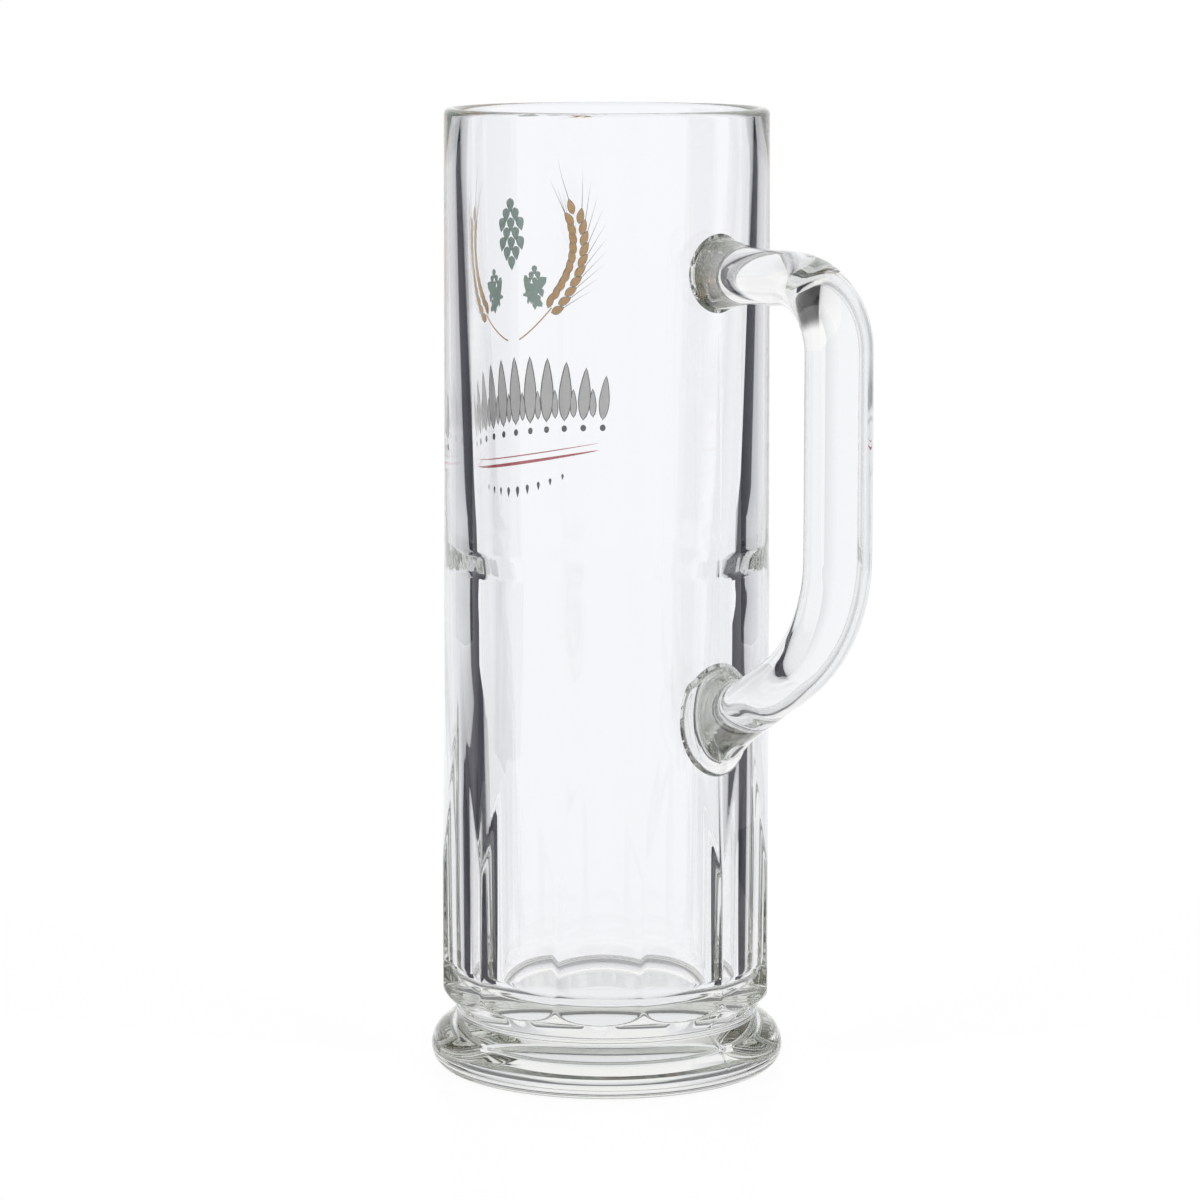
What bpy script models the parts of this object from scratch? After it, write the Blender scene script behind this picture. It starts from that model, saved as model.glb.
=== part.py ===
"""Tall pressed-glass beer mug: a plain upper wall, a panelled lower wall, a thick round foot and a loop handle.

Metres, +Z up. The origin is the centre of the foot's underside and the handle lies along +X.
"""

import math

import bmesh
import bpy
from mathutils import Matrix, Vector

# Body, outside
MUG_HEIGHT = 0.2080
LIP_RADIUS = 0.0348
WALL_RADIUS = 0.0351  # plain wall just above the faint step at mid-height
STEP_TOP = 0.1120
STEP_BASE = 0.1083
STEP_PROUD = 0.0001  # how far the lower wall stands out from the plain wall
SWELL = 0.00115  # how much the lower wall grows from the step down to the ridges
SWELL_TOP = 0.1040
SWELL_BASE = 0.0460  # where neighbouring flats meet in ridges
SWELL_POWER = 3.0
SWELL_ROWS = 12
PANEL_COUNT = 12
BELLY_HEIGHT = 0.0172  # where the panels turn in towards the neck
BELLY_ROUNDING = 0.0050
NECK_RADIUS = 0.0320
NECK_HEIGHT = 0.0120
NECK_ROUNDING = 0.0012

# Foot
FOOT_RADIUS = 0.0384
FOOT_SHOULDER = 0.0070  # height where the foot's sloping top meets its side
FOOT_TOP_ROUNDING = 0.0060
FOOT_EDGE_ROUNDING = 0.0040
RING_WIDTH = 0.0060  # flat ring that the mug stands on
RECESS_SLOPE = 0.0020
RECESS_DEPTH = 0.0008

# Body, inside
LIP_WALL = 0.0030
LIP_ROUNDING = 0.0014
LEDGE_TOP = 0.1120  # the bore narrows a little over this ledge
LEDGE_BASE = 0.1083
LEDGE_ROUNDING = 0.0030
UPPER_WALL = 0.00685  # wall just above the ledge
LOWER_WALL = 0.00785  # wall just under the ledge
BASE_WALL = 0.0091  # same wall carried down to the inner floor
FLOOR_HEIGHT = 0.0178
FLOOR_ROUNDING = 0.0050

# Handle
HANDLE_REACH = 0.0700  # grip's centre line from the mug's axis
HANDLE_WIDTH = 0.0164
HANDLE_DEPTH = 0.0115
UPPER_ROOT_HEIGHT = 0.1745
LOWER_ROOT_HEIGHT = 0.0812
LOWER_ROOT_SLOPE = math.radians(15.0)  # fall of the handle where it runs into the wall
LOWER_ARM_SLOPE = math.radians(32.5)  # fall of the arm further out
ANKLE_REACH = 0.0085  # distance out from the wall where the two slopes meet
ANKLE_BEND = 0.0200
UPPER_BEND = 0.0145
LOWER_BEND = 0.0330
ROOT_WIDTH = 0.0140
UPPER_ROOT_DEPTH = 0.0150
LOWER_ROOT_DEPTH = 0.0198  # measured square to the sloping arm
ROOT_FLARE_LENGTH = 0.0060  # how far a root's deeper section reaches along the arm
ROOT_WAIST_LENGTH = 0.0180  # how far a root's narrower width reaches along the arm
ROOT_BURIAL = 0.0040  # length of handle carried past the wall before its end is cut to fit
SEAT_GAP = 0.0003

# Facets
TURN_STEPS = 72
ARC_STEP = math.radians(15.0)
SECTION_SIDES = 28
PATH_STEP = 0.0032
FILLET_SHARE = 0.98  # most of a side that its two fillets may use

GLASS_COLOUR = (0.93, 0.96, 0.94, 1.0)
GLASS_ROUGHNESS = 0.03
GLASS_IOR = 1.52


def clear_scene():
    for thing in list(bpy.data.objects):
        bpy.data.objects.remove(thing, do_unlink=True)


def new_collection(name):
    group = bpy.data.collections.new(name)
    bpy.context.scene.collection.children.link(group)
    return group


def glass(name):
    material = bpy.data.materials.new(name)
    material.use_nodes = True
    shader = material.node_tree.nodes["Principled BSDF"]
    shader.inputs["Base Color"].default_value = GLASS_COLOUR
    shader.inputs["Roughness"].default_value = GLASS_ROUGHNESS
    shader.inputs["Metallic"].default_value = 0.0
    shader.inputs["IOR"].default_value = GLASS_IOR
    shader.inputs["Transmission Weight"].default_value = 1.0
    material.diffuse_color = GLASS_COLOUR
    return material


def fillet_reaches(corners):
    """Half turn and tangent length at each rounded corner, two fillets sharing a side where it is short."""
    places = [Vector(corner[:2]) for corner in corners]
    half_turns = [0.0] * len(corners)
    reaches = [0.0] * len(corners)
    for index in range(1, len(corners) - 1):
        turn = (places[index] - places[index - 1]).angle(places[index + 1] - places[index])
        half_turns[index] = turn / 2
        reaches[index] = corners[index][2] * math.tan(turn / 2)
    for index in range(len(corners) - 1):
        room = FILLET_SHARE * (places[index + 1] - places[index]).length
        share = min(1.0, room / max(reaches[index] + reaches[index + 1], room))
        reaches[index] *= share
        reaches[index + 1] *= share
    return places, half_turns, reaches


def rounded(corners):
    """Points along a line of (across, up, rounding) corners, with an arc at each rounded corner."""
    points = []
    places, half_turns, reaches = fillet_reaches(corners)
    for index, (here, half_turn, reach) in enumerate(zip(places, half_turns, reaches)):
        if reach == 0.0:
            points.append(here)
            continue
        before = (places[index - 1] - here).normalized()
        after = (places[index + 1] - here).normalized()
        centre = here + (before + after).normalized() * reach / math.sin(half_turn)
        spoke = here + before * reach - centre
        steps = max(2, math.ceil(2 * half_turn / ARC_STEP))
        turn = math.copysign(2 * half_turn / steps, -before.cross(after))
        for step in range(steps + 1):
            points.append(centre + Matrix.Rotation(turn * step, 2) @ spoke)
    return points


def lower_radius():
    """Lower wall just under the step, and the distance from the axis to each flat."""
    return WALL_RADIUS + STEP_PROUD


def swollen_radius(height):
    """Lower wall before its flats are cut: it swells downwards, so a flat starts as a point and widens."""
    share = (SWELL_TOP - height) / (SWELL_TOP - SWELL_BASE)
    return lower_radius() + SWELL * min(max(share, 0.0), 1.0) ** SWELL_POWER


def swell_line():
    heights = [SWELL_TOP + (SWELL_BASE - SWELL_TOP) * row / SWELL_ROWS for row in range(SWELL_ROWS + 1)]
    return [(swollen_radius(height), height, 0.0) for height in heights]


def flat_reach(angle):
    """Distance from the axis out to a flat at an angle, with a ridge on the handle's side."""
    pitch = 2 * math.pi / PANEL_COUNT
    from_flat = pitch / 2 - abs(angle - pitch * round(angle / pitch))
    return lower_radius() / math.cos(from_flat)


def body_profile():
    """Half section of the body from the inner floor, up and over the lip and down to the underside."""
    ring_outside = FOOT_RADIUS - FOOT_EDGE_ROUNDING
    recess = ring_outside - RING_WIDTH
    inside = [
        (0.0, FLOOR_HEIGHT, 0.0),
        (lower_radius() - BASE_WALL, FLOOR_HEIGHT, FLOOR_ROUNDING),
        (lower_radius() - LOWER_WALL, LEDGE_BASE, LEDGE_ROUNDING),
        (WALL_RADIUS - UPPER_WALL, LEDGE_TOP, LEDGE_ROUNDING),
        (LIP_RADIUS - LIP_WALL, MUG_HEIGHT, LIP_ROUNDING),
    ]
    outside = [
        (LIP_RADIUS, MUG_HEIGHT, LIP_ROUNDING),
        (WALL_RADIUS, STEP_TOP, 0.0),
        (lower_radius(), STEP_BASE, 0.0),
    ]
    base = [
        (swollen_radius(0.0), BELLY_HEIGHT, BELLY_ROUNDING),
        (NECK_RADIUS, NECK_HEIGHT, NECK_ROUNDING),
        (FOOT_RADIUS, FOOT_SHOULDER, FOOT_TOP_ROUNDING),
        (FOOT_RADIUS, 0.0, FOOT_EDGE_ROUNDING),
        (recess, 0.0, 0.0),
        (recess - RECESS_SLOPE, RECESS_DEPTH, 0.0),
        (0.0, RECESS_DEPTH, 0.0),
    ]
    return rounded(inside + outside + swell_line() + base)


def seat_profile():
    """Half section of the wall as a solid plug, standing off it by the seat's gap."""
    line = [(LIP_RADIUS, MUG_HEIGHT), (WALL_RADIUS, STEP_TOP), (lower_radius(), STEP_BASE)]
    line += [corner[:2] for corner in swell_line()] + [(swollen_radius(0.0), NECK_HEIGHT)]
    shell = [Vector((radius + SEAT_GAP, height)) for radius, height in line]
    return [Vector((0.0, MUG_HEIGHT))] + shell + [Vector((0.0, NECK_HEIGHT))]


def pressed_ring(radius, height, clearance):
    """One level of the body, cut back to the flats between the neck and the step; one point on the axis."""
    if radius == 0.0:
        return [(0.0, 0.0, height)]
    ring = []
    for step in range(TURN_STEPS):
        angle = 2 * math.pi * step / TURN_STEPS
        reach = radius
        if NECK_HEIGHT < height < STEP_BASE:
            reach = min(radius, flat_reach(angle) + clearance)
        ring.append((reach * math.cos(angle), reach * math.sin(angle), height))
    return ring


def pressed(name, profile, clearance, group):
    return lofted(name, [pressed_ring(point.x, point.y, clearance) for point in profile], group)


def as_cutter(thing):
    thing.hide_render = True
    thing.display_type = "WIRE"
    return thing


def cut(thing, cutter):
    difference = thing.modifiers.new("cut_" + cutter.name, "BOOLEAN")
    difference.operation = "DIFFERENCE"
    difference.solver = "EXACT"
    difference.object = cutter


def make_body(parts):
    body = pressed("mug_body", body_profile(), 0.0, parts)
    body.data.materials.append(glass("body_glass"))
    return body


def handle_path():
    """Centre line in the XZ plane, evenly spaced: level arm, bend, upright grip, bend, sloping arm."""
    buried = LIP_RADIUS - ROOT_BURIAL
    ankle = WALL_RADIUS + ANKLE_REACH
    root_fall = math.tan(LOWER_ROOT_SLOPE)
    ankle_height = LOWER_ROOT_HEIGHT + ANKLE_REACH * root_fall
    lower_corner = ankle_height + (HANDLE_REACH - ankle) * math.tan(LOWER_ARM_SLOPE)
    lower_end = LOWER_ROOT_HEIGHT - (WALL_RADIUS - buried) * root_fall
    corners = rounded(
        [
            (buried, UPPER_ROOT_HEIGHT, 0.0),
            (HANDLE_REACH, UPPER_ROOT_HEIGHT, UPPER_BEND),
            (HANDLE_REACH, lower_corner, LOWER_BEND),
            (ankle, ankle_height, ANKLE_BEND),
            (buried, lower_end, 0.0),
        ]
    )
    path = [corners[0]]
    for start, end in zip(corners, corners[1:]):
        pieces = max(1, round((end - start).length / PATH_STEP))
        path += [start.lerp(end, piece / pieces) for piece in range(1, pieces + 1)]
    return path


def fade(distance, length):
    """One at a root, falling to nothing along the arm."""
    return math.exp(-((max(distance, 0.0) / length) ** 2))


def section_size(above, below):
    """Depth and width of the handle at its distances from the upper and the lower root."""
    near = min(above, below)
    root_depth = UPPER_ROOT_DEPTH if above < below else LOWER_ROOT_DEPTH
    depth = HANDLE_DEPTH + (root_depth - HANDLE_DEPTH) * fade(near, ROOT_FLARE_LENGTH)
    width = HANDLE_WIDTH + (ROOT_WIDTH - HANDLE_WIDTH) * fade(near, ROOT_WAIST_LENGTH)
    return depth, width


def handle_rings():
    """Elliptical sections along the centre line, each square to it."""
    path = handle_path()
    last = len(path) - 1
    from_top = [0.0]
    for start, end in zip(path, path[1:]):
        from_top.append(from_top[-1] + (end - start).length)
    rings = []
    for index, place in enumerate(path):
        along = path[min(index + 1, last)] - path[max(index - 1, 0)]
        outward = Vector((-along.y, along.x)).normalized()
        above = from_top[index] - ROOT_BURIAL
        below = from_top[-1] - from_top[index] - ROOT_BURIAL / math.cos(LOWER_ROOT_SLOPE)
        depth, width = section_size(above, below)
        ring = []
        for side in range(SECTION_SIDES):
            angle = 2 * math.pi * side / SECTION_SIDES
            spot = place + outward * depth / 2 * math.cos(angle)
            ring.append((spot.x, width / 2 * math.sin(angle), spot.y))
        rings.append(ring)
    return rings


def lofted(name, rings, group):
    """A closed skin over rings of equal count; a ring of one point closes an end."""
    skin = bmesh.new()
    loops = [[skin.verts.new(place) for place in ring] for ring in rings]
    sides = max(len(loop) for loop in loops)
    for first, second in zip(loops, loops[1:]):
        for side in range(sides):
            follow = (side + 1) % sides
            corners = [loop[spot % len(loop)] for loop, spot in
                       ((first, side), (first, follow), (second, follow), (second, side))]
            skin.faces.new(list(dict.fromkeys(corners)))
    for end in (loops[0], loops[-1]):
        if len(end) > 1:
            skin.faces.new(end)
    bmesh.ops.recalc_face_normals(skin, faces=skin.faces)
    mesh = bpy.data.meshes.new(name)
    skin.to_mesh(mesh)
    skin.free()
    thing = bpy.data.objects.new(name, mesh)
    group.objects.link(thing)
    return thing


def make_handle(parts, cutters):
    handle = lofted("handle", handle_rings(), parts)
    handle.data.materials.append(glass("handle_glass"))
    cut(handle, as_cutter(pressed("wall_seat", seat_profile(), SEAT_GAP, cutters)))
    return handle


def main():
    clear_scene()
    parts = new_collection("beer_mug")
    cutters = new_collection("cutters")
    for piece in (make_body(parts), make_handle(parts, cutters)):
        piece.data.shade_smooth()
        piece.data.set_sharp_from_angle(angle=math.radians(30.0))


main()
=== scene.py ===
import bmesh
import bpy
from bisect import bisect_right
from functools import partial
from math import atan2, ceil, cos, exp, hypot, pi, radians, sin, sqrt, tan
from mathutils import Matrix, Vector


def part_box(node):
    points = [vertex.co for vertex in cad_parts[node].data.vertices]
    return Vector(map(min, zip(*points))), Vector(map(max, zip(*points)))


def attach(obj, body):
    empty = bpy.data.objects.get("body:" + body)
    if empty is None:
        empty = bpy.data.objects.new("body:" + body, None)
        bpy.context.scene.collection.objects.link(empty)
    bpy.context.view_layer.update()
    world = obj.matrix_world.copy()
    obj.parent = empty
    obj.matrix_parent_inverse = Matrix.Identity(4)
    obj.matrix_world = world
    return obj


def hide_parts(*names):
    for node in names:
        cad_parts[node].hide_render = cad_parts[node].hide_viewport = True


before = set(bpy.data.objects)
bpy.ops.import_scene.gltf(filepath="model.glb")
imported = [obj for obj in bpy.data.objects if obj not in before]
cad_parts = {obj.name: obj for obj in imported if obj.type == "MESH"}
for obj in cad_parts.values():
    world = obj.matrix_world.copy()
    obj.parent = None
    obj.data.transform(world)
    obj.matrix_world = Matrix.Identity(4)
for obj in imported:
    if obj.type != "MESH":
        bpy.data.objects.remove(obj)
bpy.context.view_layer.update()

scene = bpy.context.scene
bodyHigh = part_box("mug_body")[1]
mm = 0.001
tiny = 1e-6     # too small to matter, as a length or a share
white = (1.0, 1.0, 1.0, 1.0)


def feed(tree, socket, value):
    if isinstance(value, bpy.types.NodeSocket):
        tree.links.new(value, socket)
    else:
        socket.default_value = value


def fill(tree, node, values):
    for name, value in values.items():
        feed(tree, node.inputs[name], value)


def placeNode(tree, kind, values=None, **settings):
    node = tree.nodes.new(kind)
    for name, value in settings.items():
        setattr(node, name, value)
    fill(tree, node, values or {})
    return node


def calc(tree, operation, *values):
    return placeNode(tree, "ShaderNodeMath", dict(enumerate(values)), operation=operation).outputs[0]


def joinAxes(tree, x, y, z):
    return placeNode(tree, "ShaderNodeCombineXYZ", {"X": x, "Y": y, "Z": z}).outputs[0]


def splitAxes(tree, place):
    return placeNode(tree, "ShaderNodeSeparateXYZ", {0: place}).outputs


def dotProduct(tree, way, towards):
    node = placeNode(tree, "ShaderNodeVectorMath", {0: way, 1: towards}, operation="DOT_PRODUCT")
    return node.outputs["Value"]


def mapRange(tree, value, start, end, low, high, blend="LINEAR"):
    return placeNode(tree, "ShaderNodeMapRange", {
        "Value": value, "From Min": start, "From Max": end, "To Min": low, "To Max": high},
        interpolation_type=blend).outputs["Result"]


def newTree(name, kind, inputs, outputs):
    tree = bpy.data.node_groups.new(name, kind)
    for way, sockets in (("INPUT", inputs), ("OUTPUT", outputs)):
        for label, socket in sockets.items():
            tree.interface.new_socket(name=label, in_out=way, socket_type="NodeSocket" + socket)
    return tree, placeNode(tree, "NodeGroupInput"), placeNode(tree, "NodeGroupOutput")


def newShapeTree(name, inputs):
    tree, given, result = newTree(
        name, "GeometryNodeTree", {"Geometry": "Geometry", **inputs}, {"Geometry": "Geometry"})
    tree.is_modifier = True
    return tree, given.outputs, result


def endShapeTree(tree, geometry, material, result):
    realized = placeNode(tree, "GeometryNodeRealizeInstances", {"Geometry": geometry})
    painted = placeNode(tree, "GeometryNodeSetMaterial", {
        "Geometry": realized.outputs["Geometry"], "Material": material})
    feed(tree, result.inputs["Geometry"], painted.outputs["Geometry"])


def runTree(piece, tree, values):
    # what the tree makes becomes the piece's own plain mesh
    modifier = piece.modifiers.new(tree.name, "NODES")
    modifier.node_group = tree
    for item in tree.interface.items_tree:
        if item.item_type == "SOCKET" and item.in_out == "INPUT" and item.name in values:
            modifier[item.identifier] = values[item.name]
    bpy.context.view_layer.update()
    evaluated = piece.evaluated_get(bpy.context.evaluated_depsgraph_get())
    mesh = bpy.data.meshes.new_from_object(evaluated)
    piece.modifiers.clear()
    piece.data = mesh


def newMaterial(name):
    material = bpy.data.materials.new(name)
    material.use_nodes = True
    return material, material.node_tree, material.node_tree.nodes["Principled BSDF"]


def addPiece(name, mesh):
    piece = bpy.data.objects.new(name, mesh)
    scene.collection.objects.link(piece)
    return piece


def addBuilt(name, built, material):
    data = bpy.data.meshes.new(name)
    built.to_mesh(data)
    built.free()
    data.materials.append(material)
    return addPiece(name, data)


def report(piece):
    corners = [piece.matrix_world @ Vector(c) for c in piece.bound_box]
    size = [max(c[i] for c in corners) - min(c[i] for c in corners) for i in range(3)]
    piece.data.calc_loop_triangles()
    print(f"{piece.name}: {len(piece.data.loop_triangles)} triangles,",
          " x ".join(f"{x / mm:.2f}" for x in size), "mm")


glassLook = {
    "tint": white, "ior": 1.52,
    "inside": (0.40, 0.44, 0.33, 1.0),              # what the thick parts let through
    "ripple": 0.02 * mm, "rippleDetail": 1.5,       # the faint waves left by the press
    "haze": (0.0, 0.02), "hazeGrain": (0.55, 0.85), "grainScale": 900.0,    # roughness, by the grain
    "body": {"density": 3.0, "rippleScale": 45.0, "stretch": 0.3},
    "handle": {"density": 5.0, "rippleScale": 60.0, "stretch": 0.6},
}


def pressMarks():
    inputs = ("Ripple Scale", "Ripple Detail", "Stretch", "Grain Scale")
    group, given, result = newTree("pressMarks", "ShaderNodeTree", dict.fromkeys(inputs, "Float"),
                                   {"Height": "Float", "Haze": "Float"})
    place = placeNode(group, "ShaderNodeTexCoord").outputs["Object"]
    squash = joinAxes(group, 1.0, 1.0, given.outputs["Stretch"])
    stretched = placeNode(group, "ShaderNodeVectorMath", {0: place, 1: squash}, operation="MULTIPLY")
    ripple = placeNode(group, "ShaderNodeTexNoise", {
        "Vector": stretched.outputs[0], "Scale": given.outputs["Ripple Scale"],
        "Detail": given.outputs["Ripple Detail"]})
    grain = placeNode(group, "ShaderNodeTexNoise", {"Vector": place, "Scale": given.outputs["Grain Scale"]})
    fill(group, result, {"Height": ripple.outputs["Fac"], "Haze": grain.outputs["Fac"]})
    return group


def makeGlass(name, marks, look, part):
    material, tree, shader = newMaterial(name)
    detail = placeNode(tree, "ShaderNodeGroup", {
        "Ripple Scale": part["rippleScale"], "Ripple Detail": look["rippleDetail"],
        "Stretch": part["stretch"], "Grain Scale": look["grainScale"]}, node_tree=marks)
    bump = placeNode(tree, "ShaderNodeBump", {"Distance": look["ripple"], "Height": detail.outputs["Height"]})
    fill(tree, shader, {
        "Base Color": look["tint"], "IOR": look["ior"], "Transmission Weight": 1.0,
        "Normal": bump.outputs["Normal"],
        "Roughness": mapRange(tree, detail.outputs["Haze"], *look["hazeGrain"], *look["haze"])})
    absorb = placeNode(tree, "ShaderNodeVolumeAbsorption", {
        "Color": look["inside"], "Density": part["density"]})
    feed(tree, tree.nodes["Material Output"].inputs["Volume"], absorb.outputs["Volume"])
    return material


marks = pressMarks()
bodyGlass = makeGlass("bodyGlass", marks, glassLook, glassLook["body"])
handleGlass = makeGlass("handleGlass", marks, glassLook, glassLook["handle"])
print("glass materials made")

body = {
    "height": bodyHigh[2],
    "lipRadius": 34.8 * mm, "lipWall": 3.0 * mm, "lipRounding": 1.4 * mm,
    "wallRadius": 35.1 * mm, "lowerRadius": 35.2 * mm, "stepTop": 112.0 * mm, "stepBase": 108.3 * mm,
    "ledgeTop": 114.0 * mm, "ledgeBase": 109.4 * mm, "ledgeRounding": 10.0 * mm,
    "ledgeUpper": 28.25 * mm, "ledgeLower": 27.35 * mm,     # inner radius above and below the ledge
    "ledgeReach": 2.0 * mm, "ledgeWave": 0.4 * mm, "ledgeUneven": 9.0, "ledgeDrift": 0.1,
    "floorRadius": 26.1 * mm, "floorHeight": 17.8 * mm, "floorRounding": 5.0 * mm,
    "swell": 1.15 * mm, "swellTop": 104.0 * mm, "swellBase": 46.0 * mm, "swellPower": 3.0,
    "panelCount": 12, "panelInradius": 35.2 * mm,
    "bellyHeight": 17.2 * mm, "bellyRounding": 5.0 * mm,
    "neckRadius": 32.0 * mm, "neckHeight": 12.0 * mm, "neckRounding": 1.2 * mm,
    "footRadius": bodyHigh[1] - 0.07 * mm, "footShoulder": 7.0 * mm, "footTopRounding": 6.0 * mm,
    "footEdgeRounding": 4.0 * mm, "ringWidth": 6.0 * mm, "ringSteps": 10, "ringRounding": 2.5 * mm,
    "recessSlope": 2.0 * mm, "recessDepth": 0.8 * mm, "recessRounding": 7.0 * mm,
    "ribCount": 108, "ribDepth": 0.03 * mm,
    "seamHeight": 0.07 * mm, "seamWidth": 0.3 * mm, "seamTop": 150 * mm, "seamBase": 0.9 * mm,
    "columnsPerPanel": 36, "ridgeCrowding": 0.3, "soften": 0.06 * mm, "weld": 0.001 * mm,
    "arcSpacing": 0.3 * mm, "arcLeast": 8, "longSpacing": 12 * mm, "swellSpacing": 2.0 * mm,
}


def roundedLine(corners, arcSpacing, longSpacing):
    # corners are (across, up, rounding); every rounding becomes an arc
    flat = [Vector(c[:2]) for c in corners]
    line = [flat[0]]
    for i in range(1, len(corners) - 1):
        rounding = corners[i][2]
        if not rounding:
            line.append(flat[i])
            continue
        toBack = (flat[i - 1] - flat[i]).normalized()
        toNext = (flat[i + 1] - flat[i]).normalized()
        half = toBack.angle(toNext) / 2
        start = flat[i] + toBack * rounding / tan(half)
        centre = flat[i] + (toBack + toNext).normalized() * rounding / sin(half)
        turn = pi - 2 * half
        steps = max(body["arcLeast"], ceil(turn * rounding / arcSpacing))
        sense = 1 if toBack.x * toNext.y - toBack.y * toNext.x < 0 else -1
        spoke = start - centre
        for k in range(steps + 1):
            angle = sense * turn * k / steps
            line.append(centre + Vector((spoke.x * cos(angle) - spoke.y * sin(angle),
                                         spoke.x * sin(angle) + spoke.y * cos(angle))))
    line.append(flat[-1])
    fine = [line[0]]
    for point in line[1:]:
        start = fine[-1]
        gap = point - start
        steps = max(1, ceil(gap.length / longSpacing - tiny))
        if gap.length > tiny / 10:
            fine += [start + gap * (k + 1) / steps for k in range(steps)]
    return fine


def swollenRadius(b, height):
    # the wall swells towards the base, so the flats start narrow and widen until they meet
    share = (b["swellTop"] - height) / (b["swellTop"] - b["swellBase"])
    return b["lowerRadius"] + b["swell"] * min(max(share, 0.0), 1.0) ** b["swellPower"]


def bodyProfile(b):
    # from the middle of the inner floor over the lip to the middle of the underside
    recess = b["footRadius"] - b["footEdgeRounding"] - b["ringWidth"]
    rows, steps = ceil((b["swellTop"] - b["swellBase"]) / b["swellSpacing"]), b["ringSteps"]
    swell = [b["swellTop"] + (b["swellBase"] - b["swellTop"]) * k / rows for k in range(rows + 1)]
    corners = [
        (0, b["floorHeight"], 0),
        (b["floorRadius"], b["floorHeight"], b["floorRounding"]),
        (b["ledgeLower"], b["ledgeBase"], b["ledgeRounding"]),
        (b["ledgeUpper"], b["ledgeTop"], b["ledgeRounding"]),
        (b["lipRadius"] - b["lipWall"], b["height"], b["lipRounding"]),
        (b["lipRadius"], b["height"], b["lipRounding"]),
        (b["wallRadius"], b["stepTop"], 0),
        (b["lowerRadius"], b["stepBase"], 0)]
    corners += [(swollenRadius(b, z), z, 0) for z in swell]
    corners += [
        (swollenRadius(b, 0), b["bellyHeight"], b["bellyRounding"]),
        (b["neckRadius"], b["neckHeight"], b["neckRounding"]),
        (b["footRadius"], b["footShoulder"], b["footTopRounding"]),
        (b["footRadius"], 0, b["footEdgeRounding"])]
    corners += [(recess + b["ringWidth"] * (1 - k / steps), 0, 0) for k in range(1, steps)]
    corners += [
        (recess, 0, b["ringRounding"]),
        (recess - b["recessSlope"], b["recessDepth"], b["recessRounding"]),
        (0, b["recessDepth"], 0)]
    line = roundedLine(corners, b["arcSpacing"], b["longSpacing"])
    top = max(range(len(line)), key=lambda i: line[i].y)
    mesh = bpy.data.meshes.new("bodyProfile")
    mesh.from_pydata([(p.x, 0, p.y) for p in line], [(i, i + 1) for i in range(len(line) - 1)], [])
    outside = mesh.attributes.new("outside", "FLOAT", "POINT")
    bearing = mesh.attributes.new("bearing", "FLOAT", "POINT")
    for i, p in enumerate(line):
        outside.data[i].value = 1.0 if i > top else 0.0
        share = (p.x - recess) / b["ringWidth"]
        bearing.data[i].value = sin(pi * share) if p.y < tiny and 0 < share < 1 else 0.0
    return mesh


def sampled(tree, geometry, value, index, kind):
    return placeNode(tree, "GeometryNodeSampleIndex", {"Geometry": geometry, "Value": value, "Index": index},
                     data_type=kind, domain="POINT").outputs["Value"]


def named(tree, name):
    return placeNode(tree, "GeometryNodeInputNamedAttribute", {"Name": name},
                     data_type="FLOAT").outputs["Attribute"]


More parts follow.
